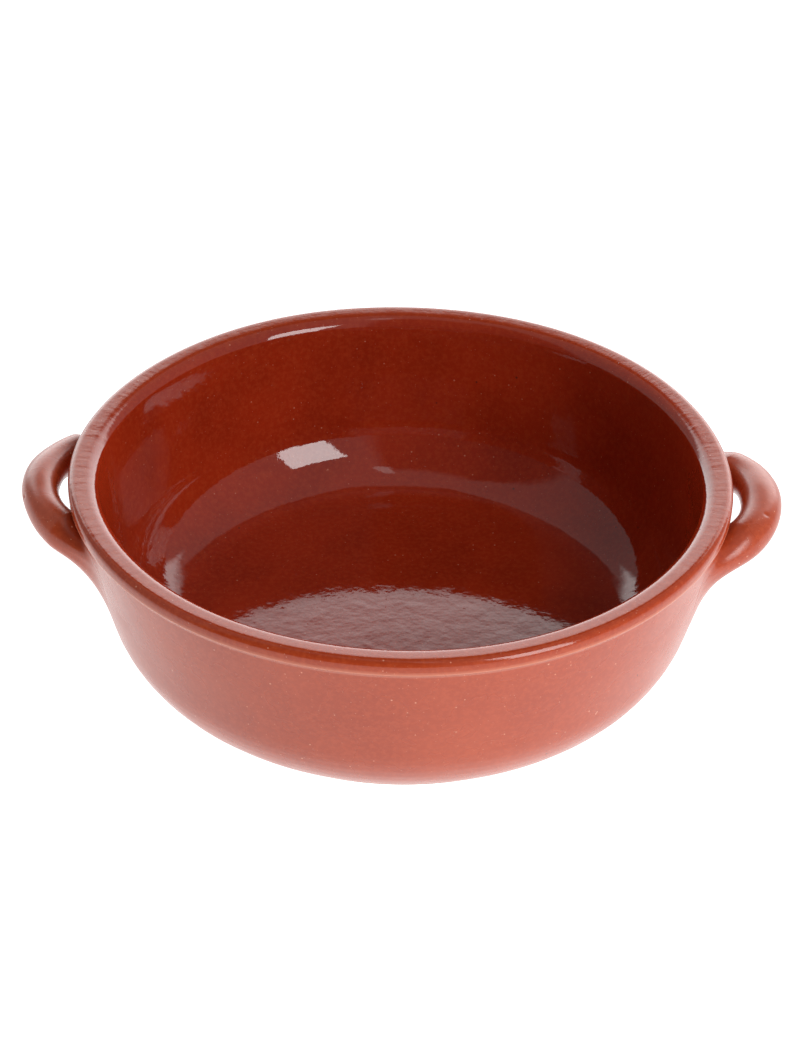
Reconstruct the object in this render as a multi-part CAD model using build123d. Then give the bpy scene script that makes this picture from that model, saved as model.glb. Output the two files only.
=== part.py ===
from build123d import *
import os
from math import cos, radians, sin, tan

# A round glazed clay casserole with a coil handle on each side.
# Units are millimetres. The origin is the centre of the base, +Z is up,
# and the handles stand out along -X and +X.

# Overall size
rim_diameter = 280.0
height = 88.0

# Rim: a thick rolled lip that stands out over the wall
lip_width = 12.2
lip_outer_radius = 3.2
lip_inner_radius = 5.5
bead_height = 7.0
bead_step = 1.5
bead_edge_radius = 1.3

# Outside wall: a straight draft that runs into one large corner arc.
# The arc would bottom out a little below the base, which cuts it flat.
wall_draft = 13.0
corner_radius = 45.0
base_trim = 4.5
base_edge_radius = 2.0

# Underside: dished a little, so that the pot stands on a flat ring
standing_ring_width = 14.0
base_hollow_depth = 1.2

# Inside
floor_thickness = 10.0
inside_draft = 7.3
inside_corner_radius = 32.0

# Handles: one coil each, bent to a bow and pressed on just below the rim.
# The coil swells towards its feet, where the clay was smeared on to the wall.
coil_width = 16.2
coil_height = 16.0
finger_gap = 5.9
handle_span = 75.0
handle_bow = 28.6
handle_drop = 20.5
handle_lift = 8.0
foot_width = 25.0
foot_height = 26.0
foot_root = 16.0
bow_sections = 9

rim_radius = rim_diameter / 2
wall_top_radius = rim_radius - bead_step
wall_top_z = height - bead_height
handle_root_x = rim_radius + finger_gap + coil_width / 2 - handle_bow


def outside_radius(z):
    """Radius of the outside wall at height z, before its corner is rounded."""
    return wall_top_radius - (wall_top_z - z) * tan(radians(wall_draft))


def inside_radius(z):
    """Radius of the inside wall at height z, before its corner is rounded."""
    return rim_radius - lip_width - (height - z) * tan(radians(inside_draft))


# Corners of the pot's section as (radius, z, rounding), from the base round to the floor
outside_corners = [
    (outside_radius(-base_trim), -base_trim, corner_radius),
    (wall_top_radius, wall_top_z, 0),
    (rim_radius, wall_top_z, bead_edge_radius),
    (rim_radius, height, lip_outer_radius),
]
inside_corners = [
    (inside_radius(height), height, lip_inner_radius),
    (inside_radius(floor_thickness), floor_thickness, inside_corner_radius),
]


def turned(corners, end_z):
    """Solid of revolution about Z, from an outline that starts and ends on the axis."""
    points = [(0, -base_trim)] + [(r, z) for r, z, _ in corners] + [(0, end_z)]
    outline = FilletPolyline(*points, radius=[rounding for _, _, rounding in corners])
    section = make_face(Plane.XZ * (outline + Line(points[-1], points[0])))
    return revolve(section, axis=Axis.Z)


def cut_flat(blank):
    """Cuts the base flat at z = 0 and eases the edge that this leaves."""
    form = blank - Pos(0, 0, -base_trim) * Cylinder(rim_diameter, 2 * base_trim)
    return fillet(form.faces().sort_by(Axis.Z)[0].edges(), base_edge_radius)


def bowl():
    """The pot: one thrown piece with a rolled lip and a slightly dished underside."""
    form = cut_flat(turned(outside_corners + inside_corners, floor_thickness))
    base = form.faces().sort_by(Axis.Z)[0]
    hollow_radius = base.bounding_box().size.X / 2 - standing_ring_width
    ball_radius = (hollow_radius**2 + base_hollow_depth**2) / (2 * base_hollow_depth)
    return form - Pos(0, 0, base_hollow_depth - ball_radius) * Sphere(ball_radius)


def bow_point(turn):
    """Point on the handle's centre line, from 0 degrees at one foot to 180 at the other."""
    return Vector(
        handle_root_x + handle_bow * sin(radians(turn)),
        -handle_span / 2 * cos(radians(turn)),
        height - handle_drop + handle_lift * sin(radians(turn)),
    )


def bow_direction(turn):
    """Direction of the centre line at the same turn."""
    return Vector(
        handle_bow * cos(radians(turn)),
        handle_span / 2 * sin(radians(turn)),
        handle_lift * cos(radians(turn)),
    )


def coil_section(centre, direction, turn):
    """Oval across the coil, which swells towards the feet."""
    swell = (1 - sin(radians(turn))) ** 2
    width = coil_width + (foot_width - coil_width) * swell
    depth = coil_height + (foot_height - coil_height) * swell
    across = Vector(0, 0, 1).cross(direction)
    return Plane(centre, x_dir=across, z_dir=direction) * Ellipse(width / 2, depth / 2)


def handle_right():
    """One bent coil, with feet that follow the round of the wall that they are pressed on."""
    turns = [180 * step / (bow_sections - 1) for step in range(bow_sections)]
    sections = [coil_section(bow_point(turn), bow_direction(turn), turn) for turn in turns]
    inward = Vector(-foot_root, 0, 0)
    first = coil_section(bow_point(0) + inward, bow_direction(0), 0)
    last = coil_section(bow_point(180) + inward, bow_direction(180), 180)
    coil = loft([first] + sections + [last])
    return coil - cut_flat(turned(outside_corners, height))


def handle_left():
    """The other handle, the same coil on the opposite side."""
    return Rot(0, 0, 180) * handle_right()


os.makedirs("parts", exist_ok=True)
for name, solid in [
    ("bowl", bowl()),
    ("handle_right", handle_right()),
    ("handle_left", handle_left()),
]:
    export_step(solid, f"parts/{name}.step")
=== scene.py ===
import math
from typing import NamedTuple

import bpy
import numpy as np
from mathutils import Matrix, Vector


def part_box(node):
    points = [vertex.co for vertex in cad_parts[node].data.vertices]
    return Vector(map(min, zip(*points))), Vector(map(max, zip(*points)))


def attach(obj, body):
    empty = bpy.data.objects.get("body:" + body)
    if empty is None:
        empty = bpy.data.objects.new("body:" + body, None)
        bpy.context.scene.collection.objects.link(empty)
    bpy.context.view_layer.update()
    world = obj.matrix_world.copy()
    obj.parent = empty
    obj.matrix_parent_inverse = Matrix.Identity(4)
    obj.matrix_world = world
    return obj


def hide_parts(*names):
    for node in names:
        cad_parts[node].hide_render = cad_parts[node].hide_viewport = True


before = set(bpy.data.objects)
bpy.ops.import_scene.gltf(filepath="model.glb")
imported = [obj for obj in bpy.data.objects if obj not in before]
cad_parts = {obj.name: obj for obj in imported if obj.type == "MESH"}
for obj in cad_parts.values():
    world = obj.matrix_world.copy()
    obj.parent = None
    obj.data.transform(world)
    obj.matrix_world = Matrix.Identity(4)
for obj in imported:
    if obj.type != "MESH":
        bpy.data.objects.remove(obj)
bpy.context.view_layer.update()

# The pot's section, in metres. Its height and the handles' reach are read from the frame.
_, bowl_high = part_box("bowl")
_, handle_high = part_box("handle_right")
HEIGHT = bowl_high.z
RIM_RADIUS = 0.140
LIP_WIDTH = 0.0122
LIP_OUTER_RADIUS = 0.0032
LIP_INNER_RADIUS = 0.0055
BEAD_HEIGHT = 0.007
BEAD_STEP = 0.0015
BEAD_EDGE_RADIUS = 0.0013
WALL_DRAFT = math.radians(13.0)
CORNER_RADIUS = 0.045
BASE_TRIM = 0.0045
STANDING_RING_WIDTH = 0.014
BASE_HOLLOW_DEPTH = 0.0012
FLOOR_THICKNESS = 0.010
BASE_EDGE_EASE = 0.0006
INSIDE_DRAFT = math.radians(7.3)
INSIDE_CORNER_RADIUS = 0.032
WALL_TOP_RADIUS = RIM_RADIUS - BEAD_STEP
WALL_TOP_Z = HEIGHT - BEAD_HEIGHT

# A length too small to see, which keeps points off the axis and comparisons off their edge
HAIR = 0.0001


class Coil(NamedTuple):
    """One hand-made handle. Lengths are in metres and turns in degrees along its bow.

    leave and arrive are the shares of a foot's reach that shape its curve: how far it
    runs on along the coil, and how far it lies along the wall.
    """

    facing: float
    span: float
    shift: float
    bow: float
    root_z: float
    width: float
    foot_turn: float
    foot_spread: float
    foot_down: float
    leave: float
    arrive: float
    seed: float


RIGHT_COIL = Coil(
    facing=0.0,
    span=0.0718,
    shift=0.0010,
    bow=0.0300,
    root_z=0.0660,
    width=0.0178,
    foot_turn=43.0,
    foot_spread=0.0425,
    foot_down=0.0210,
    leave=0.33,
    arrive=0.44,
    seed=1.0,
)
LEFT_COIL = Coil(
    facing=math.pi,
    span=0.0730,
    shift=0.0,
    bow=0.0286,
    root_z=0.0682,
    width=0.0163,
    foot_turn=35.0,
    foot_spread=0.0385,
    foot_down=0.0290,
    leave=0.27,
    arrive=0.52,
    seed=2.6,
)
COIL_HEIGHT = 0.0160
COIL_END_X = handle_high.x
HANDLE_LIFT = 0.0076
FOOT_WIDTH = 0.025
FOOT_HEIGHT = 0.026

# How far a smeared foot spreads on the wall, and how its thin edge sinks in
FOOT_Z = 0.0663
FOOT_TO_GAP = 0.0180
FOOT_FROM_GAP = 0.0160
FOOT_UP = 0.0105
FOOT_OVERRUN = 0.0012
FOOT_SINK = 0.0005
FOOT_WAVER = 0.06
FOOT_LOBES = 5

# How fine the meshes are
TURN_STEPS = 720
OUTLINE_STEP = 0.0020
ARC_STEP = math.radians(6.0)
LEAST_ARC_STEPS = 3
HOLLOW_STEPS = 12
COIL_STEPS = 160
COIL_SIDES = 96
FOOT_RINGS = 24

# Small steps for taking a direction from two places: degrees of turn, and share of a foot
TURN_NUDGE = 0.01
REACH_NUDGE = 0.02

# Name of the layer that says how thick the glaze lies: 0 outside to 1 inside
GLAZE_LAYER = "glaze_depth"
LIP_GLAZE = 0.3

# Name of the layer that is 1 along the bead's lower edge, where a painted highlight of the bright
# floor it mirrors is laid into the colour
BEAD_HIGHLIGHT_LAYER = "bead_highlight"
BEAD_HIGHLIGHT_Z = WALL_TOP_Z + 0.0007
BEAD_HIGHLIGHT_REACH = 0.0010

# Name of the layer that is 1 underneath, where the glaze was wiped off, and 0 above this height
BARE_LAYER = "glaze_bare"
BARE_HEIGHT = 0.0016

# The hand-made waver of the wall, which grows with height
WALL_WAVER = 0.00035
WAVER_FROM_Z = 0.02
WAVER_FULL_Z = 0.07
WAVER_ORDERS = range(2, 7)
WAVER_SEED = 3

# The rim stands out a little at the left handle, and the wall where the feet were smeared on
LEFT_RIM_BULGE = 0.0016
LEFT_BULGE_TURN = math.radians(26)
LEFT_BULGE_FROM_Z = 0.06
SMEAR_BULGE = 0.0017
SMEAR_TURN = math.radians(22)
SMEAR_FROM_Z = 0.026
SMEAR_FULL_Z = 0.050
SMEAR_FADE_Z = 0.060
SMEAR_END_Z = 0.078

# The lip slopes inwards, wavers, and has fine dents, which are deepest beside the handles
LIP_FROM_Z = HEIGHT - 0.006
LIP_FULL_Z = HEIGHT - 0.001
LIP_SLOPE = math.tan(math.radians(3.6))
LIP_WAVER = 0.00015
LIP_WAVER_SHARE = 0.5
LIP_WAVER_ORDERS = range(2, 9)
LIP_WAVER_SEED = 5
LIP_RIPPLE = 0.000014
LIP_RIPPLE_ORDERS = range(50, 210, 9)
LIP_RIPPLE_SEED = 11
RIPPLE_ALL_ROUND = 0.25
RIGHT_GRIP_TURN = math.radians(34)
LEFT_GRIP_TURN = math.radians(30)


class Wave(NamedTuple):
    """One wave of a coil's unevenness, by how often it comes round and along the coil."""

    share: float
    around: float
    along: float
    seeded: float


COIL_WAVER = 0.00020
COIL_WAVES = (
    Wave(share=0.6, around=2, along=3, seeded=1),
    Wave(share=0.5, around=1, along=-5, seeded=2),
    Wave(share=0.25, around=3, along=9, seeded=0),
    Wave(share=0.5, around=0, along=7, seeded=1),
)

# The whole coil is thinned by this many wavers
COIL_THINNING = 1.2

# Small nicks in the coils, placed in degrees along the bow and round the coil
NICKS = ((62, 118), (108, 150), (84, 208))
NICK_DEPTH = 0.0005
NICK_LENGTH = 1.5
NICK_BREADTH = 6.5
NICK_SHIFT = 4


def outside_radius(z):
    """Radius of the outside wall at height z, before its corner is rounded."""
    return WALL_TOP_RADIUS - (WALL_TOP_Z - z) * math.tan(WALL_DRAFT)


def inside_radius(z):
    """Radius of the inside wall at height z, before its corner is rounded."""
    return RIM_RADIUS - LIP_WIDTH - (HEIGHT - z) * math.tan(INSIDE_DRAFT)


def base_radius():
    """Where the big outside corner arc crosses the plane of the base."""
    centre_z = CORNER_RADIUS - BASE_TRIM
    centre_r = outside_radius(centre_z) - CORNER_RADIUS / math.cos(WALL_DRAFT)
    return centre_r + math.sqrt(CORNER_RADIUS**2 - centre_z**2)


def rounded(before, corner, after, radius):
    """The arc that rounds one corner of an outline, as points."""
    before, corner, after = Vector(before), Vector(corner), Vector(after)
    if radius == 0:
        return [corner]
    to_before = (before - corner).normalized()
    to_after = (after - corner).normalized()
    half = to_before.angle(to_after) / 2
    centre = corner + (to_before + to_after).normalized() * radius / math.sin(half)
    start = corner + to_before * radius / math.tan(half) - centre
    end = corner + to_after * radius / math.tan(half) - centre
    sweep = start.angle(end)
    steps = max(LEAST_ARC_STEPS, math.ceil(sweep / ARC_STEP))
    shares = [step / steps for step in range(steps + 1)]
    return [
        centre + (start * math.sin((1 - t) * sweep) + end * math.sin(t * sweep)) / math.sin(sweep)
        for t in shares
    ]


def underside():
    """The dished underside as (radius, z), from its middle out to the standing ring."""
    hollow = base_radius() - STANDING_RING_WIDTH
    shares = np.linspace(HAIR / hollow, 1, HOLLOW_STEPS)
    return [(hollow * share, BASE_HOLLOW_DEPTH * (1 - share**2)) for share in shares]


def section():
    """The pot's outline as (radius, z), from under the middle of the base round to the floor."""
    corners = [
        ((outside_radius(-BASE_TRIM), -BASE_TRIM), CORNER_RADIUS),
        ((WALL_TOP_RADIUS, WALL_TOP_Z), 0),
        ((RIM_RADIUS, WALL_TOP_Z), BEAD_EDGE_RADIUS),
        ((RIM_RADIUS, HEIGHT), LIP_OUTER_RADIUS),
        ((inside_radius(HEIGHT), HEIGHT), LIP_INNER_RADIUS),
        ((inside_radius(FLOOR_THICKNESS), FLOOR_THICKNESS), INSIDE_CORNER_RADIUS),
    ]
    places = [(0.0, -BASE_TRIM)] + [place for place, _ in corners] + [(0.0, FLOOR_THICKNESS)]
    above = []
    for before, (place, radius), after in zip(places, corners, places[2:]):
        above += [(point.x, point.y) for point in rounded(before, place, after, radius)]
    above = [(r, z) for r, z in above if z > BASE_EDGE_EASE]
    standing = (above[0][0] - BASE_EDGE_EASE, 0.0)
    return underside() + [standing] + above + [(HAIR, FLOOR_THICKNESS)]


def even_steps(points, longest):
    """The same outline with its long spans cut into equal steps."""
    result = [points[0]]
    for (r0, z0), (r1, z1) in zip(points, points[1:]):
        pieces = max(1, math.ceil(math.hypot(r1 - r0, z1 - z0) / longest))
        for piece in range(1, pieces + 1):
            share = piece / pieces
            result.append((r0 + (r1 - r0) * share, z0 + (z1 - z0) * share))
    return np.array(result)


def harmonics(angle, orders, seed):
    """A smooth repeatable wave of mixed orders round the pot, of about unit size."""
    random = np.random.default_rng(seed)
    total = np.zeros_like(angle)
    for order in orders:
        total += random.uniform(0.5, 1.0) * np.cos(order * angle + random.uniform(0, 2 * math.pi))
    return total / math.sqrt(len(orders))


def fade(value, start, end):
    """Rises smoothly from 0 at start to 1 at end."""
    share = np.clip((value - start) / (end - start), 0, 1)
    return share * share * (3 - 2 * share)


def near(angle, centre, width):
    """One around a direction, fading to 0 about a width away from it."""
    offset = (angle - centre + math.pi) % (2 * math.pi) - math.pi
    return np.exp(-((offset / width) ** 2))


def wall_shift(z, angle):
    """How far the hand-made wall stands out from the turned one."""
    out = WALL_WAVER * harmonics(angle, WAVER_ORDERS, WAVER_SEED) * fade(z, WAVER_FROM_Z, WAVER_FULL_Z)
    left = LEFT_RIM_BULGE * near(angle, math.pi, LEFT_BULGE_TURN)
    out = out + left * fade(z, LEFT_BULGE_FROM_Z, LIP_FROM_Z)
    smear = SMEAR_BULGE * (near(angle, 0, SMEAR_TURN) + near(angle, math.pi, SMEAR_TURN))
    smear = smear * fade(z, SMEAR_FROM_Z, SMEAR_FULL_Z)
    return out + smear * (1 - fade(z, SMEAR_FADE_Z, SMEAR_END_Z))


def lip_drop(r, angle):
    """How far the hand-made lip lies below the turned one."""
    grip = near(angle, 0, RIGHT_GRIP_TURN) + near(angle, math.pi, LEFT_GRIP_TURN)
    dents = LIP_RIPPLE * (1 + harmonics(angle, LIP_RIPPLE_ORDERS, LIP_RIPPLE_SEED))
    waver = LIP_WAVER * (1 + LIP_WAVER_SHARE * harmonics(angle, LIP_WAVER_ORDERS, LIP_WAVER_SEED))
    slope = LIP_SLOPE * np.clip(RIM_RADIUS - LIP_OUTER_RADIUS - r, 0, None)
    return np.clip(waver + dents * (RIPPLE_ALL_ROUND + grip) + slope, 0, None)


def hand_made(r, z, angle):
    """Moves points of the turned form by the small unevenness of thrown clay."""
    return r + wall_shift(z, angle), z - lip_drop(r, angle) * fade(z, LIP_FROM_Z, LIP_FULL_Z)


def wall_place(angle, z):
    """Point on the finished outside wall below the bead, for arrays of angles and heights."""
    r, z = hand_made(outside_radius(z), z, angle)
    return np.stack([r * np.cos(angle), r * np.sin(angle), z], axis=-1)


def grid_faces(rows, columns):
    """Quads between successive rings of a grid of vertices that closes on itself."""
    index = np.arange(rows * columns).reshape(rows, columns)
    here, there = index[:-1], index[1:]
    return np.stack([here, np.roll(here, -1, 1), np.roll(there, -1, 1), there], -1).reshape(-1, 4)


def cap_faces(rows, columns):
    """Triangles from the first ring to the pole under it and from the last to the pole above."""
    under = rows * columns
    floor = under + 1
    last = (rows - 1) * columns
    faces = []
    for step in range(columns):
        after = (step + 1) % columns
        faces.append([under, after, step])
        faces.append([floor, last + step, last + after])
    return faces


def smooth_piece(name, vertices, faces):
    """A smooth shaded mesh object at the origin."""
    mesh = bpy.data.meshes.new(name)
    mesh.from_pydata(vertices.tolist(), [], [list(face) for face in faces])
    mesh.validate()
    mesh.shade_smooth()
    piece = bpy.data.objects.new(name, mesh)
    bpy.context.scene.collection.objects.link(piece)
    return piece


def set_layer(piece, name, values, poles):
    """Keeps one number for each ring of the bowl, and for its two poles, for the glaze to read."""
    layer = piece.data.attributes.new(name, "FLOAT", "POINT")
    layer.data.foreach_set("value", np.append(np.repeat(values, TURN_STEPS), poles))


def glaze_layers(piece, outline):
    """Says along the bowl's outline where the glaze is deep and where thin, where a highlight is
    painted on the bead's lower edge, and where the glaze was wiped off.
    """
    r, z = outline[:, 0], outline[:, 1]
    ring = np.arange(len(outline))
    inner = (ring > z.argmax()) * fade(RIM_RADIUS - r, LIP_WIDTH / 2, LIP_WIDTH + HAIR)
    depth = LIP_GLAZE * fade(z, WALL_TOP_Z, HEIGHT) * (1 - inner) + inner
    set_layer(piece, GLAZE_LAYER, depth, poles=[0.0, 1.0])
    # The bead's lower edge gets a painted highlight: it is made paler where it mirrors the bright
    # floor
    edge = np.exp(-(((z - BEAD_HIGHLIGHT_Z) / BEAD_HIGHLIGHT_REACH) ** 2)) * (r > WALL_TOP_RADIUS - HAIR)
    set_layer(piece, BEAD_HIGHLIGHT_LAYER, edge, poles=[0.0, 0.0])
    bare = np.where(ring <= z.argmin(), 1.0, 1 - fade(z, 0, BARE_HEIGHT))
    set_layer(piece, BARE_LAYER, bare, poles=[1.0, 0.0])


def glazed_bowl():
    """The pot as one closed turned skin with its hand-made unevenness."""
    outline = even_steps(section(), OUTLINE_STEP)
    angle = np.linspace(0, 2 * math.pi, TURN_STEPS, endpoint=False)
    r = np.repeat(outline[:, :1], TURN_STEPS, axis=1)
    z = np.repeat(outline[:, 1:], TURN_STEPS, axis=1)
    r, z = hand_made(r, z, angle[None, :])
    rings = np.stack([r * np.cos(angle), r * np.sin(angle), z], axis=-1)
    poles = [[0, 0, outline[0, 1]], [0, 0, outline[-1, 1]]]
    vertices = np.vstack([rings.reshape(-1, 3), poles])
    rows = len(outline)
    faces = grid_faces(rows, TURN_STEPS).tolist() + cap_faces(rows, TURN_STEPS)
    piece = smooth_piece("glazed_bowl", vertices, faces)
    glaze_layers(piece, outline)
    return piece


def bow_place(coil, turn):
    """Point of a coil's centre line, from 0 degrees at one foot to 180 at the other."""
    root_x = COIL_END_X - coil.width / 2 - coil.bow
    lift = math.sin(math.radians(turn))
    side = coil.shift - coil.span / 2 * math.cos(math.radians(turn))
    return np.array([root_x + coil.bow * lift, side, coil.root_z + HANDLE_LIFT * lift])


def bow_frame(coil, turn):
    """Direction of the centre line, and the two directions across it."""
    along = bow_place(coil, turn + TURN_NUDGE) - bow_place(coil, turn - TURN_NUDGE)
    along /= np.linalg.norm(along)
    across = np.cross([0, 0, 1], along)
    across /= np.linalg.norm(across)
    return along, across, np.cross(along, across)


def ring_angles():
    """Angles round the coil. 0 is the side towards the finger gap and 90 degrees is the top."""
    return np.linspace(0, 2 * math.pi, COIL_SIDES, endpoint=False)


def coil_uneven(coil, turn):
    """How far the hand-rolled coil stands out from its oval, round one ring."""
    phi = ring_angles()
    shift = math.radians(turn)
    waves = sum(
        wave.share * np.cos(wave.around * phi + wave.along * shift + wave.seeded * coil.seed)
        for wave in COIL_WAVES
    )
    uneven = COIL_WAVER * (waves - COIL_THINNING)
    for nick_turn, nick_side in NICKS:
        aside = np.degrees(phi) - nick_side - NICK_SHIFT * coil.seed
        off = np.hypot((turn - nick_turn) / NICK_LENGTH, aside / NICK_BREADTH)
        uneven = uneven - NICK_DEPTH * np.exp(-(off**2))
    return uneven


def coil_ring(coil, turn):
    """The coil's oval at one place, which swells towards the feet."""
    _, across, up = bow_frame(coil, turn)
    phi = ring_angles()
    uneven = coil_uneven(coil, turn)
    swell = (1 - math.sin(math.radians(turn))) ** 2
    width = (coil.width + (FOOT_WIDTH - coil.width) * swell) / 2 + uneven
    height = (COIL_HEIGHT + (FOOT_HEIGHT - COIL_HEIGHT) * swell) / 2 + uneven
    offset = np.outer(np.cos(phi) * width, across) + np.outer(np.sin(phi) * height, up)
    return bow_place(coil, turn) + offset


def turned_by(points, angle):
    """Points turned about the pot's axis."""
    cosine, sine = math.cos(angle), math.sin(angle)
    return points @ np.array([[cosine, sine, 0], [-sine, cosine, 0], [0, 0, 1]])


def foot_on_wall(coil, inward, scale):
    """Outline of a smeared foot on the wall. scale 1 is its edge and smaller lies within it."""
    phi = ring_angles()
    smear = 1 + FOOT_WAVER * np.cos(FOOT_LOBES * phi + coil.seed) * np.clip(-np.sin(phi), 0, 1)
    reach_z = np.where(np.sin(phi) > 0, FOOT_UP, coil.foot_down * smear) * np.sin(phi)
    reach = np.where(np.cos(phi) > 0, FOOT_TO_GAP, FOOT_FROM_GAP) * np.cos(phi)
    middle = math.asin((coil.shift - inward * coil.foot_spread) / outside_radius(FOOT_Z))
    angle = middle + coil.facing + inward * reach / outside_radius(FOOT_Z) * scale
    return turned_by(wall_place(angle, FOOT_Z + reach_z * scale), -coil.facing)


def bezier(start, leaving, arriving, end, t):
    """Point of a cubic curve at share t of its way."""
    s = 1 - t
    return start * s**3 + 3 * leaving * s**2 * t + 3 * arriving * s * t**2 + end * t**3


def foot_rings(coil, end):
    """Rings from the sunk edge of a smeared foot up to the coil that leaves it.

    end is 0 or 180, the turn of the centre line that the foot belongs to.
    """
    inward = 1 if end == 0 else -1
    turn = end + inward * coil.foot_turn
    along, _, _ = bow_frame(coil, turn)
    start = coil_ring(coil, turn)
    edge = foot_on_wall(coil, inward, 1.0)
    outward = foot_on_wall(coil, inward, 1 + REACH_NUDGE) - foot_on_wall(coil, inward, 1 - REACH_NUDGE)
    outward /= np.linalg.norm(outward, axis=1, keepdims=True)
    span = np.linalg.norm(edge - start, axis=1, keepdims=True)
    on_wall = edge - outward * span * coil.arrive
    off_coil = start - inward * along * span * coil.leave
    rings = [edge + outward * FOOT_OVERRUN - np.array([FOOT_SINK, 0, 0])]
    shares = [ring / FOOT_RINGS for ring in range(FOOT_RINGS)]
    return rings + [bezier(edge, on_wall, off_coil, start, share) for share in shares]


def coil_handle(name, coil):
    """One bent coil whose feet are smeared out on to the wall on both sides of the finger gap."""
    turns = np.linspace(coil.foot_turn, 180 - coil.foot_turn, COIL_STEPS)
    rings = foot_rings(coil, 0)
    rings += [coil_ring(coil, turn) for turn in turns]
    rings += reversed(foot_rings(coil, 180))
    vertices = turned_by(np.concatenate(rings), coil.facing)
    return smooth_piece(name, vertices, grid_faces(len(rings), COIL_SIDES))


class Texture(NamedTuple):
    """A cloudy pattern: how many of its features fill a metre, and the finer ones it holds."""

    scale: float
    detail: float = 3.0
    roughness: float = 0.5


class Specks(NamedTuple):
    """A scatter of spots. A share of the cells, given in metres, hold one each.

    least and spread give the spots' radius as a share of a cell.
    """

    cell: float
    share: float
    shift: float
    least: float
    spread: float


# Where a mix node for colours has its two inputs and its result
MIX_FIRST = 6
MIX_SECOND = 7
MIX_RESULT = 2


class Shader:
    """A node tree with short calls to add and join nodes."""

    def __init__(self, owner):
        owner.use_nodes = True
        self.tree = owner.node_tree
        self.tree.nodes.clear()

    def add(self, kind, inputs=None, **settings):
        """A new node with its settings, and its inputs given as values or as other outputs."""
        node = self.tree.nodes.new(kind)
        for name, value in settings.items():
            setattr(node, name, value)
        for socket, value in (inputs or {}).items():
            self.put(node.inputs[socket], value)
        return node

    def put(self, socket, value):
        """Links an output to an input, or sets the input's own value."""
        if isinstance(value, bpy.types.NodeSocket):
            self.tree.links.new(value, socket)
        else:
            socket.default_value = value

    def calc(self, operation, first, second=0.0, third=0.0):
        """The result of one sum on up to three values."""
        inputs = {0: first, 1: second, 2: third}
        return self.add("ShaderNodeMath", inputs, operation=operation).outputs[0]

    def ramp(self, value, low, high, at_low=0.0, at_high=1.0):
        """A smooth step of a value from one level to another."""
        inputs = {"Value": value, "From Min": low, "From Max": high}
        inputs.update({"To Min": at_low, "To Max": at_high})
        node = self.add("ShaderNodeMapRange", inputs, interpolation_type="SMOOTHSTEP")
        return node.outputs["Result"]

    def noise(self, where, texture):
        """The level of a cloudy texture, about a half on average."""
        inputs = {"Vector": where, "Scale": texture.scale}
        inputs.update({"Detail": texture.detail, "Roughness": texture.roughness})
        return self.add("ShaderNodeTexNoise", inputs).outputs["Fac"]

    def mix(self, share, first, second):
        """A blend of two colours."""
        node = self.add("ShaderNodeMix", data_type="RGBA")
        self.put(node.inputs["Factor"], share)
        self.put(node.inputs[MIX_FIRST], first)
        self.put(node.inputs[MIX_SECOND], second)
        return node.outputs[MIX_RESULT]

    def layer(self, name):
        """The number that a mesh keeps for each vertex under this name, or 0 if it has none."""
        return self.add("ShaderNodeAttribute", attribute_name=name).outputs["Fac"]


# Colours, as linear light
GLAZE = (0.332, 0.0400, 0.0095, 1)
GLAZE_THIN = (0.465, 0.0740, 0.0220, 1)
# A painted highlight: the pale colour laid along the bead's lower edge where it mirrors the bright
# floor
BEAD_HIGHLIGHT_COLOUR = (0.620, 0.2250, 0.1350, 1)
GLAZE_DEEP = (0.285, 0.0198, 0.0046, 1)
GLAZE_DEEPEST = (0.210, 0.0130, 0.0032, 1)
PIN_LIGHT = (0.75, 0.36, 0.24, 1)
PIN_DARK = (0.07, 0.014, 0.008, 1)
BARE_CLAY = (0.34, 0.110, 0.052, 1)
BARE_CLAY_DUSTY = (0.42, 0.165, 0.088, 1)
WHITE = (1, 1, 1, 1)

# Patterns in the glaze's colour, and how strongly each shows outside and inside
CLOUD = Texture(scale=22, detail=4.0)
CLOUD_OUTSIDE = 0.35
CLOUD_INSIDE = 0.80
MOTTLE = Texture(scale=480, roughness=0.65)
GRAINY_OUTSIDE = 0.42
GRAINY_INSIDE = 0.16
STREAK = Texture(scale=150, roughness=0.6)
STREAK_DRAWN = (1, 1, 0.10)
STREAK_SHARE = 0.12
# How strongly the painted highlight on the bead's lower edge shows
BEAD_HIGHLIGHT_SHARE = 0.60
FINE_SPECKS = Specks(cell=0.0017, share=0.34, shift=0.5, least=0.10, spread=0.08)
PALE_SPECKS = Specks(cell=0.0032, share=0.26, shift=0.0, least=0.06, spread=0.10)
PALE_OUTSIDE = 0.70
PALE_INSIDE = 0.28
DARK_SPECKS = Specks(cell=0.0090, share=0.16, shift=0.3, least=0.04, spread=0.04)
DARK_SHARE = 0.85
SPECK_CORE = 0.6

# Patterns in the glaze's height
RIPPLE = Texture(scale=150, detail=2.0, roughness=0.45)
PEEL = Texture(scale=560, detail=2.0, roughness=0.6)
PEEL_OUTSIDE = 0.42
PEEL_INSIDE = 0.16
PITS = Specks(cell=0.0034, share=0.22, shift=0.7, least=0.05, spread=0.10)
PIT_DEPTH = 0.9
LIP_MARKS = Texture(scale=430, roughness=0.55)
LIP_MARKS_DRAWN = 0.22
LIP_MARKS_DEPTH = 0.9
LIP_MARKS_FROM_X = 0.05
LIP_MARKS_FULL_X = 0.13
LIP_MARKS_LEAST = 0.12
RELIEF_STRENGTH = 0.5
RELIEF_DEPTH = 0.00016

# How the glaze shines: satin outside, glossier on the lip and glassy inside
SHEEN = Texture(scale=40)
SATIN_LEAST = 0.24
SATIN_MOST = 0.31
LIP_ROUGHNESS = 0.105
INSIDE_ROUGHNESS = 0.045
GLAZE_IOR = 1.50
LIP_IOR = 1.42

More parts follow.
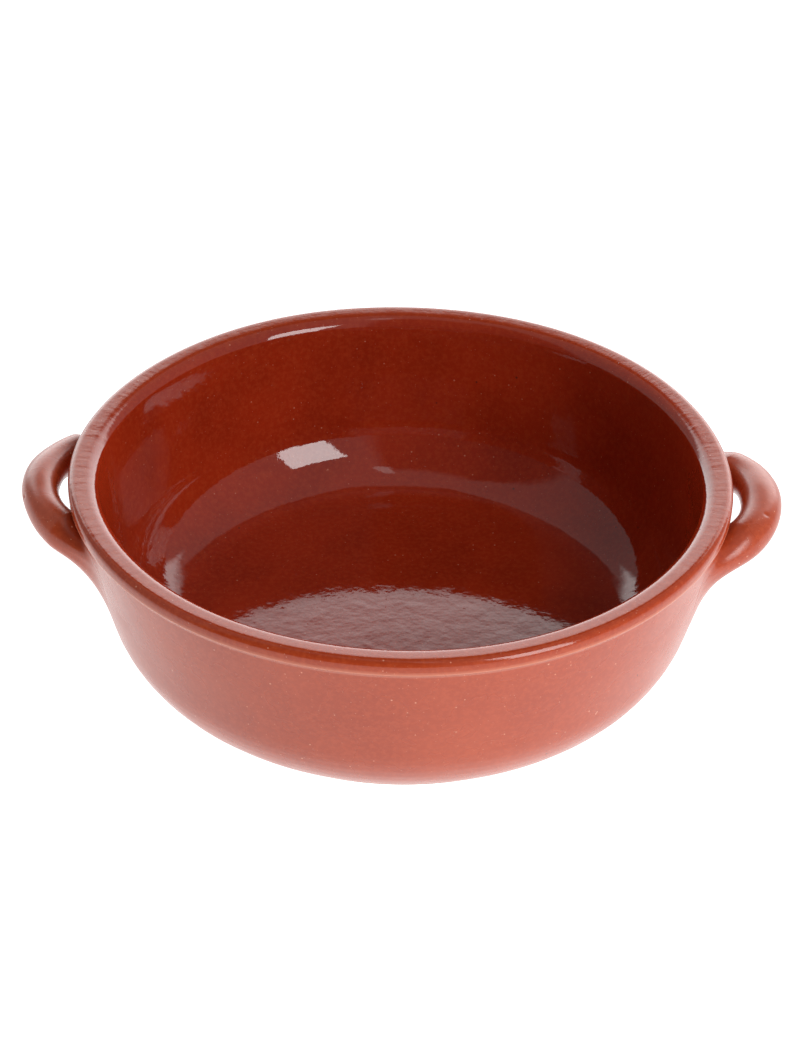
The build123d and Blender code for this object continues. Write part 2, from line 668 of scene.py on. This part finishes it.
# The bare clay underneath, and the wavering edge where the glaze was wiped off
DUST = Texture(scale=420, detail=5.0, roughness=0.75)
GRAIN = Texture(scale=700, detail=2.0)
GRAIN_STRENGTH = 0.6
GRAIN_DEPTH = 0.0002
CLAY_ROUGHNESS = 0.85
CLAY_IOR = 1.45
WIPED_EDGE = Texture(scale=60)
WIPED_WAVER = 0.5
WIPED_LEVEL = 0.45


def specks(shader, where, kind):
    """A scatter of small round spots: a few of the cells that fill space hold one."""
    inputs = {0: where, 1: (kind.shift,) * 3}
    moved = shader.add("ShaderNodeVectorMath", inputs, operation="ADD").outputs[0]
    cells = shader.add("ShaderNodeTexVoronoi", {"Vector": moved, "Scale": 1 / kind.cell})
    chosen = shader.add("ShaderNodeSeparateColor", {"Color": cells.outputs["Color"]})
    holds = shader.calc("LESS_THAN", chosen.outputs[0], kind.share)
    radius = shader.calc("MULTIPLY_ADD", chosen.outputs[1], kind.spread, kind.least)
    core = shader.calc("MULTIPLY", radius, SPECK_CORE)
    return shader.calc("MULTIPLY", holds, shader.ramp(cells.outputs["Distance"], radius, core))


def lip_marks(shader, place):
    """Fine marks across the lip, strongest beside the handles where the pot was held."""
    x, y, z = place.outputs
    arc = shader.calc("MULTIPLY", shader.calc("ARCTAN2", y, x), RIM_RADIUS)
    radius = shader.calc("SQRT", shader.calc("MULTIPLY_ADD", x, x, shader.calc("MULTIPLY", y, y)))
    drawn = shader.calc("MULTIPLY", radius, LIP_MARKS_DRAWN)
    across = shader.add("ShaderNodeCombineXYZ", {0: arc, 1: drawn}).outputs[0]
    marks = shader.noise(across, LIP_MARKS)
    on_lip = shader.ramp(z, LIP_FROM_Z, LIP_FULL_Z)
    aside = shader.calc("ABSOLUTE", x)
    beside = shader.ramp(aside, LIP_MARKS_FROM_X, LIP_MARKS_FULL_X, at_low=LIP_MARKS_LEAST)
    return shader.calc("MULTIPLY", marks, shader.calc("MULTIPLY", on_lip, beside))


def base_colour(shader, where, depth):
    """The glaze's clouded red-brown, thin and pale outside and deep inside."""
    cloud = shader.noise(where, CLOUD)
    thin = shader.ramp(cloud, low=0.35, high=0.75, at_high=CLOUD_OUTSIDE)
    deep = shader.ramp(cloud, low=0.35, high=0.70, at_high=CLOUD_INSIDE)
    outside = shader.mix(thin, GLAZE, GLAZE_THIN)
    inside = shader.mix(deep, GLAZE_DEEP, GLAZE_DEEPEST)
    return shader.mix(depth, outside, inside)


def glaze_colour(shader, where, depth):
    """The glaze's colour with its mottle, its streaks, a painted highlight on the bead's lower edge
    and its specks.
    """
    grainy = shader.ramp(depth, 0.0, 1.0, at_low=GRAINY_OUTSIDE, at_high=GRAINY_INSIDE)
    mottle = shader.ramp(shader.noise(where, MOTTLE), low=0.40, high=0.68)
    colour = base_colour(shader, where, depth)
    colour = shader.mix(shader.calc("MULTIPLY", mottle, grainy), colour, GLAZE_THIN)
    drawn = shader.add("ShaderNodeMapping", {"Vector": where, "Scale": STREAK_DRAWN}).outputs[0]
    streak = shader.ramp(shader.noise(drawn, STREAK), low=0.58, high=0.78, at_high=STREAK_SHARE)
    colour = shader.mix(streak, colour, GLAZE_THIN)
    # Painted highlight: the bead's lower edge is blended towards a pale colour where it mirrors the
    # bright floor
    edge = shader.calc("MULTIPLY", shader.layer(BEAD_HIGHLIGHT_LAYER), BEAD_HIGHLIGHT_SHARE)
    colour = shader.mix(edge, colour, BEAD_HIGHLIGHT_COLOUR)
    fine = shader.calc("MULTIPLY", specks(shader, where, FINE_SPECKS), grainy)
    colour = shader.mix(fine, colour, PIN_LIGHT)
    showing = shader.ramp(depth, 0.0, 1.0, at_low=PALE_OUTSIDE, at_high=PALE_INSIDE)
    pale = shader.calc("MULTIPLY", specks(shader, where, PALE_SPECKS), showing)
    colour = shader.mix(pale, colour, PIN_LIGHT)
    dark = shader.calc("MULTIPLY", specks(shader, where, DARK_SPECKS), DARK_SHARE)
    return shader.mix(dark, colour, PIN_DARK)


def glaze_relief(shader, where, place, depth):
    """The glaze's own small relief: ripples, orange peel, pits and the marks of the lip."""
    peel = shader.noise(where, PEEL)
    peel_share = shader.ramp(depth, 0.0, 1.0, at_low=PEEL_OUTSIDE, at_high=PEEL_INSIDE)
    relief = shader.calc("MULTIPLY_ADD", peel, peel_share, shader.noise(where, RIPPLE))
    relief = shader.calc("MULTIPLY_ADD", specks(shader, where, PITS), -PIT_DEPTH, relief)
    relief = shader.calc("MULTIPLY_ADD", lip_marks(shader, place), LIP_MARKS_DEPTH, relief)
    look = {"Height": relief, "Strength": RELIEF_STRENGTH, "Distance": RELIEF_DEPTH}
    return shader.add("ShaderNodeBump", look).outputs[0]


def glaze_roughness(shader, where, depth):
    """Satin outside, glossier on the lip and glassy inside."""
    sheen = shader.noise(where, SHEEN)
    satin = shader.ramp(sheen, low=0.3, high=0.7, at_low=SATIN_LEAST, at_high=SATIN_MOST)
    to_lip = shader.ramp(depth, 0.0, LIP_GLAZE, at_low=satin, at_high=LIP_ROUGHNESS)
    past_lip = shader.ramp(depth, LIP_GLAZE, 1.0, at_low=1.0, at_high=INSIDE_ROUGHNESS)
    return shader.calc("MINIMUM", to_lip, past_lip)


def glaze_ior(shader, depth):
    """A little less reflection on the lip than on the rest of the glaze."""
    to_lip = shader.ramp(depth, 0.0, LIP_GLAZE, at_low=GLAZE_IOR, at_high=LIP_IOR)
    past_lip = shader.ramp(depth, LIP_GLAZE, 1.0, at_low=LIP_IOR, at_high=GLAZE_IOR)
    return shader.calc("MAXIMUM", to_lip, past_lip)


def bare_clay(shader, where):
    """The dry red clay that shows where the pot stands and was wiped clean of glaze."""
    dust = shader.ramp(shader.noise(where, DUST), low=0.30, high=0.75)
    grain = {"Height": shader.noise(where, GRAIN), "Strength": GRAIN_STRENGTH, "Distance": GRAIN_DEPTH}
    look = {"Base Color": shader.mix(dust, BARE_CLAY, BARE_CLAY_DUSTY)}
    look.update({"Roughness": CLAY_ROUGHNESS, "IOR": CLAY_IOR})
    look["Normal"] = shader.add("ShaderNodeBump", grain).outputs[0]
    return shader.add("ShaderNodeBsdfPrincipled", look).outputs[0]


def glazed_clay():
    """Glossy red-brown glaze over red clay, bare on the ring and hollow underneath."""
    material = bpy.data.materials.new("glazed_clay")
    shader = Shader(material)
    where = shader.add("ShaderNodeTexCoord").outputs["Object"]
    place = shader.add("ShaderNodeSeparateXYZ", {"Vector": where})
    depth = shader.layer(GLAZE_LAYER)
    look = {"Base Color": glaze_colour(shader, where, depth)}
    look["Roughness"] = glaze_roughness(shader, where, depth)
    look["IOR"] = glaze_ior(shader, depth)
    look["Normal"] = glaze_relief(shader, where, place, depth)
    glaze = shader.add("ShaderNodeBsdfPrincipled", look).outputs[0]
    edge = shader.calc("MULTIPLY_ADD", shader.noise(where, WIPED_EDGE), WIPED_WAVER, WIPED_LEVEL)
    covered = shader.calc("LESS_THAN", shader.layer(BARE_LAYER), edge)
    mixed = shader.add("ShaderNodeMixShader", {0: covered, 1: bare_clay(shader, where), 2: glaze})
    shader.add("ShaderNodeOutputMaterial", {"Surface": mixed.outputs[0]})
    return material


class Panel(NamedTuple):
    """A patch of the studio's light, in degrees as seen from the pot."""

    brightness: float
    middle: float
    half_width: float
    low: float
    high: float
    soft: float


# How bright the tent's dim sides are and what lies below the horizon, with its soft edge
TENT = 0.45
BELOW = 1.0
BELOW_SOFT = 0.02

# The tent's panels. Directions are degrees: 0 is +X, and -90 is towards the camera.
CAMERA_END = Panel(brightness=0.09, middle=-118, half_width=36, low=-5, high=68, soft=10)
DARK_ROOF = Panel(brightness=0.07, middle=88, half_width=27, low=41, high=74, soft=5)
BACKDROP = Panel(brightness=2.95, middle=88, half_width=40, low=-5, high=33, soft=6)
BACKDROP_FOOT = Panel(brightness=3.60, middle=88, half_width=36, low=-5, high=22, soft=11)
ROOF_STRIP = Panel(brightness=1.80, middle=-74, half_width=6, low=68, high=79, soft=1.5)
PANELS = (CAMERA_END, DARK_ROOF, BACKDROP, BACKDROP_FOOT, ROOF_STRIP)
HALF_TURN = 180.0

SOFTBOX_AZIMUTH = -46.3
SOFTBOX_ELEVATION = 30
SOFTBOX_DISTANCE = 1.2
SOFTBOX_WIDTH = 0.46
SOFTBOX_HEIGHT = 0.78
SOFTBOX_BRIGHTNESS = 8.8

TABLE_HALF_WIDTH = 6.0
TABLE_DROP = 0.0002
TABLE_PAINT = (0.12, 0.12, 0.12, 1)
TABLE_GLOW = 1.38


def panel_share(shader, azimuth, elevation, panel):
    """One over a panel's patch of directions, fading over a few degrees at its edges."""
    turn = shader.calc("SUBTRACT", azimuth, panel.middle)
    apart = shader.calc("ABSOLUTE", shader.calc("WRAP", turn, HALF_TURN, -HALF_TURN))
    across = shader.ramp(apart, panel.half_width + panel.soft, panel.half_width)
    above = shader.ramp(elevation, panel.low - panel.soft, panel.low)
    under = shader.ramp(elevation, panel.high + panel.soft, panel.high)
    return shader.calc("MULTIPLY", across, shader.calc("MULTIPLY", above, under))


def studio_world():
    """A light tent: dim sides and roof, a bright backdrop and a dark end at the camera."""
    world = bpy.data.worlds.new("studio")
    bpy.context.scene.world = world
    shader = Shader(world)
    direction = shader.add("ShaderNodeTexCoord").outputs["Generated"]
    x, y, z = shader.add("ShaderNodeSeparateXYZ", {"Vector": direction}).outputs
    azimuth = shader.calc("DEGREES", shader.calc("ARCTAN2", y, x))
    elevation = shader.calc("DEGREES", shader.calc("ARCSINE", z))
    light = TENT
    for panel in PANELS:
        share = panel_share(shader, azimuth, elevation, panel)
        step = shader.calc("SUBTRACT", panel.brightness, light)
        light = shader.calc("MULTIPLY_ADD", share, step, light)
    light = shader.calc("MAXIMUM", light, shader.ramp(z, 0.0, -BELOW_SOFT, at_high=BELOW))
    seen = shader.add("ShaderNodeLightPath").outputs["Is Camera Ray"]
    strength = shader.calc("MAXIMUM", light, seen)
    background = shader.add("ShaderNodeBackground", {"Color": WHITE, "Strength": strength})
    shader.add("ShaderNodeOutputWorld", {"Surface": background.outputs[0]})


def towards(azimuth, elevation):
    """Unit vector of a direction given in degrees."""
    a, e = math.radians(azimuth), math.radians(elevation)
    return Vector((math.cos(a) * math.cos(e), math.sin(a) * math.cos(e), math.sin(e)))


def softbox():
    """A rectangular light at the front right that faces the pot."""
    lamp = bpy.data.lights.new("front_right_softbox", "AREA")
    lamp.shape = "RECTANGLE"
    lamp.size = SOFTBOX_WIDTH
    lamp.size_y = SOFTBOX_HEIGHT
    lamp.energy = SOFTBOX_BRIGHTNESS * math.pi * SOFTBOX_WIDTH * SOFTBOX_HEIGHT
    light = bpy.data.objects.new("front_right_softbox", lamp)
    bpy.context.scene.collection.objects.link(light)
    aim = towards(SOFTBOX_AZIMUTH, SOFTBOX_ELEVATION)
    light.location = Vector((0, 0, HEIGHT / 2)) + aim * SOFTBOX_DISTANCE
    light.rotation_euler = aim.to_track_quat("Z", "Y").to_euler()


def pale_table():
    """Evenly lit white paint, clear from below so that the underside can be looked at."""
    material = bpy.data.materials.new("pale_table")
    shader = Shader(material)
    paint = shader.add("ShaderNodeBsdfDiffuse", {"Color": TABLE_PAINT})
    glow = shader.add("ShaderNodeEmission", {"Color": WHITE, "Strength": TABLE_GLOW})
    lit = shader.add("ShaderNodeAddShader", {0: paint.outputs[0], 1: glow.outputs[0]})
    clear = shader.add("ShaderNodeBsdfTransparent")
    back = shader.add("ShaderNodeNewGeometry").outputs["Backfacing"]
    mixed = shader.add("ShaderNodeMixShader", {0: back, 1: lit.outputs[0], 2: clear.outputs[0]})
    shader.add("ShaderNodeOutputMaterial", {"Surface": mixed.outputs[0]})
    return material


def pale_floor():
    """A wide white table just under the pot."""
    corners = [(-1, -1), (1, -1), (1, 1), (-1, 1)]
    vertices = [(x * TABLE_HALF_WIDTH, y * TABLE_HALF_WIDTH, -TABLE_DROP) for x, y in corners]
    floor = smooth_piece("floor", np.array(vertices), [(0, 1, 2, 3)])
    floor.data.materials.append(pale_table())


# The photograph's view, aimed at the middle of the rim. Pixels are of the 800 by 1040 picture.
CAMERA_ELEVATION = 32.69
CAMERA_ROLL = 1.06
CAMERA_DISTANCE = 1.2785
PICTURE_WIDTH = 800
PICTURE_HEIGHT = 1040
RIM_MIDDLE_X = 402.8
RIM_MIDDLE_Y = 466.9
PIXELS_PER_METRE = 2356.8
SENSOR_HEIGHT = 36.0
NEAREST_SEEN = 0.01


def photo_camera():
    """The camera that took the photograph, with its slight roll."""
    lens = bpy.data.cameras.new("camera")
    lens.sensor_fit = "VERTICAL"
    lens.sensor_height = SENSOR_HEIGHT
    lens.lens = PIXELS_PER_METRE * CAMERA_DISTANCE / PICTURE_HEIGHT * SENSOR_HEIGHT
    lens.shift_x = (PICTURE_WIDTH / 2 - RIM_MIDDLE_X) / PICTURE_HEIGHT
    lens.shift_y = (RIM_MIDDLE_Y - PICTURE_HEIGHT / 2) / PICTURE_HEIGHT
    lens.clip_start = NEAREST_SEEN
    camera = bpy.data.objects.new("camera", lens)
    bpy.context.scene.collection.objects.link(camera)
    back = towards(-90, CAMERA_ELEVATION)
    level_up = towards(90, 90 - CAMERA_ELEVATION)
    roll = math.radians(CAMERA_ROLL)
    right = Vector((1, 0, 0)) * math.cos(roll) + level_up * math.sin(roll)
    up = back.cross(right)
    turn = Matrix((right, up, back)).transposed().to_4x4()
    camera.matrix_world = Matrix.Translation(Vector((0, 0, HEIGHT)) + back * CAMERA_DISTANCE) @ turn
    bpy.context.scene.camera = camera


def dress():
    """Makes the visible pieces and sets them in place of the plain solids."""
    clay = glazed_clay()
    pieces = {
        "bowl": glazed_bowl(),
        "handle_right": coil_handle("coil_handle_right", RIGHT_COIL),
        "handle_left": coil_handle("coil_handle_left", LEFT_COIL),
    }
    for node, piece in pieces.items():
        piece.data.materials.append(clay)
        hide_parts(node)
        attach(piece, "root")


def main():
    """Builds the studio, the camera and the pot."""
    scene = bpy.context.scene
    scene.view_settings.view_transform = "Standard"
    scene.view_settings.look = "None"
    studio_world()
    softbox()
    pale_floor()
    photo_camera()
    dress()


main()
